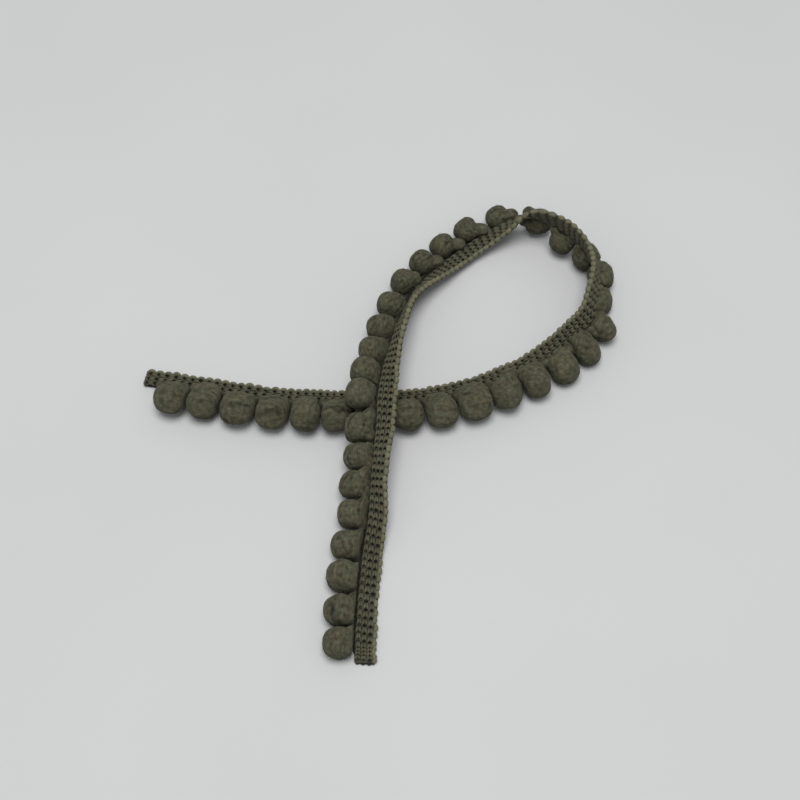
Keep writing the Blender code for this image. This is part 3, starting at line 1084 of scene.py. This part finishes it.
def pompom_yarn():
    """Soft roving: streaks along the fibres, a felted mottle, painted shade and painted highlight."""
    shading = Shading("pompom_roving")
    fibre, place = shading.attribute("fibre", "Vector"), shading.place()
    streaks = shading.noise(fibre, scale=4200, detail=5, roughness=0.62)
    mottle = shading.noise(place, scale=1500, detail=5, roughness=0.65)
    grain = shading.noise(place, scale=7000, detail=3, roughness=0.7)
    colour = shading.ramp(shading.mixed(streaks, mottle, share=0.45), ROVING_COLOURS)
    colour = shading.tinted(colour, shading.noise(place, scale=420, detail=2), ROVING_HUES)
    colour = shading.tinted(colour, shading.tone(0.12), ROVING_TONES)
    # Painted shade in furrows, on the underside and beside neighbours; painted highlight on ridges.
    colour = shading.tinted(colour, shading.attribute("painted_light", "Fac"), ROVING_PAINTED_LIGHT)
    normal = shading.bump(grain, distance=0.00006, strength=0.6)
    normal = shading.bump(streaks, distance=0.00007, strength=0.5, below=normal)
    return shading.surface(
        Base_Color=colour, Normal=normal, Roughness=0.95, Specular_IOR_Level=0.20,
        Sheen_Weight=0.12, Sheen_Roughness=0.5, Sheen_Tint=(0.55, 0.56, 0.42),
    )


def heading_yarn():
    """Plied knitting yarn: fine strands wound around each stitch, painted shade deep in the knit."""
    shading = Shading("heading_knit")
    fibre, place = shading.attribute("fibre", "Vector"), shading.place()
    strands = shading.noise(fibre, scale=9000, detail=2)
    mottle = shading.noise(place, scale=700, detail=3, roughness=0.6)
    colour = shading.ramp(shading.mixed(strands, mottle, share=0.5), KNIT_COLOURS)
    colour = shading.tinted(colour, shading.noise(place, scale=520, detail=2), KNIT_HUES)
    colour = shading.tinted(colour, shading.tone(0.16), KNIT_TONES)
    # Painted shade deep in the knit, and a painted highlight on the crowns of the stitches.
    colour = shading.tinted(colour, shading.attribute("painted_light", "Fac"), KNIT_PAINTED_LIGHT)
    normal = shading.bump(strands, distance=0.00006, strength=0.8)
    return shading.surface(
        Base_Color=colour, Normal=normal, Roughness=0.78, Specular_IOR_Level=0.35,
        Sheen_Weight=0.14, Sheen_Roughness=0.4, Sheen_Tint=(0.60, 0.62, 0.46),
    )


def pale_floor():
    """Smooth matt paper with hardly any mottle."""
    shading = Shading("pale_floor")
    colour = shading.ramp(shading.noise(shading.place(), scale=14, detail=2), FLOOR_COLOURS)
    return shading.surface(Base_Color=colour, Roughness=0.7, Specular_IOR_Level=0.2)


# --- Floor, light and camera ---


def build_floor(reach=1.6):
    mesh = bpy.data.meshes.new("floor")
    corners = [(-reach, -reach, 0), (reach, -reach, 0), (reach, reach, 0), (-reach, reach, 0)]
    mesh.from_pydata(corners, [], [(0, 1, 2, 3)])
    mesh.materials.append(pale_floor())
    floor = bpy.data.objects.new("floor", mesh)
    bpy.context.collection.objects.link(floor)


def aim(thing, place, target):
    """Puts a light or a camera into the scene, in its place and looking at the target."""
    thing.location = place
    thing.rotation_mode = "QUATERNION"
    thing.rotation_quaternion = (target - place).to_track_quat("-Z", "Y")
    bpy.context.collection.objects.link(thing)


def set_light():
    """A soft lamp above the trim's near side, and an even pale sky."""
    world = bpy.data.worlds.new("studio")
    world.use_nodes = True
    background = world.node_tree.nodes["Background"]
    background.inputs["Color"].default_value = (0.96, 0.98, 1.0, 1.0)
    background.inputs["Strength"].default_value = 0.40
    bpy.context.scene.world = world
    lamp = bpy.data.lights.new("top_softbox", "AREA")
    lamp.shape = "DISK"
    lamp.size = 0.50
    lamp.energy = 3.95
    lamp.color = (1.0, 0.995, 0.985)
    light = bpy.data.objects.new("top_softbox", lamp)
    aim(light, Vector((-0.01, -0.06, 0.80)), Vector((0.0, 0.0, 0.0)))


def set_camera():
    data = bpy.data.cameras.new("camera")
    data.sensor_width = CAMERA_SENSOR_MM
    data.lens = CAMERA_LENS_MM
    data.clip_start, data.clip_end = CAMERA_CLIP
    camera = bpy.data.objects.new("camera", data)
    rise = math.radians(CAMERA_ELEVATION_DEG)
    target = Vector(-LAY_MIDDLE)
    away = Vector((0.0, -math.cos(rise), math.sin(rise)))
    aim(camera, target + away * CAMERA_DISTANCE, target)
    bpy.context.scene.camera = camera
    bpy.context.scene.view_settings.view_transform = "Standard"


# --- The trim, and the whole scene ---


def build_trim(strand):
    """All pieces of the trim."""
    knit = heading_yarn()
    backing = build_backing(strand, knit)
    pieces = [build_chain_wale(strand, number, knit) for number in range(len(WALES))]
    pieces.append(build_free_edge(strand, knit))
    pieces.append(build_weft(strand, knit))
    roving = pompom_yarn()
    places = pompom_places(strand)
    for number, place in enumerate(places, start=1):
        neighbours = places[max(number - 2, 0):number - 1] + places[number:number + 1]
        pieces.append(build_pompom(number, place, neighbours, roving))
    length = strand.length()


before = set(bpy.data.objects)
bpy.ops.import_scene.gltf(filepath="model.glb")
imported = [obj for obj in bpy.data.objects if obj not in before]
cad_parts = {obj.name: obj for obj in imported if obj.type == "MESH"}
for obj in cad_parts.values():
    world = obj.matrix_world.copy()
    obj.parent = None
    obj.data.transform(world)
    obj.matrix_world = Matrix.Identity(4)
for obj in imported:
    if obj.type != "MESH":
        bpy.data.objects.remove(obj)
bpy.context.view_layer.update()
build_trim(Strand(ROUTE))
build_floor()
set_light()
set_camera()
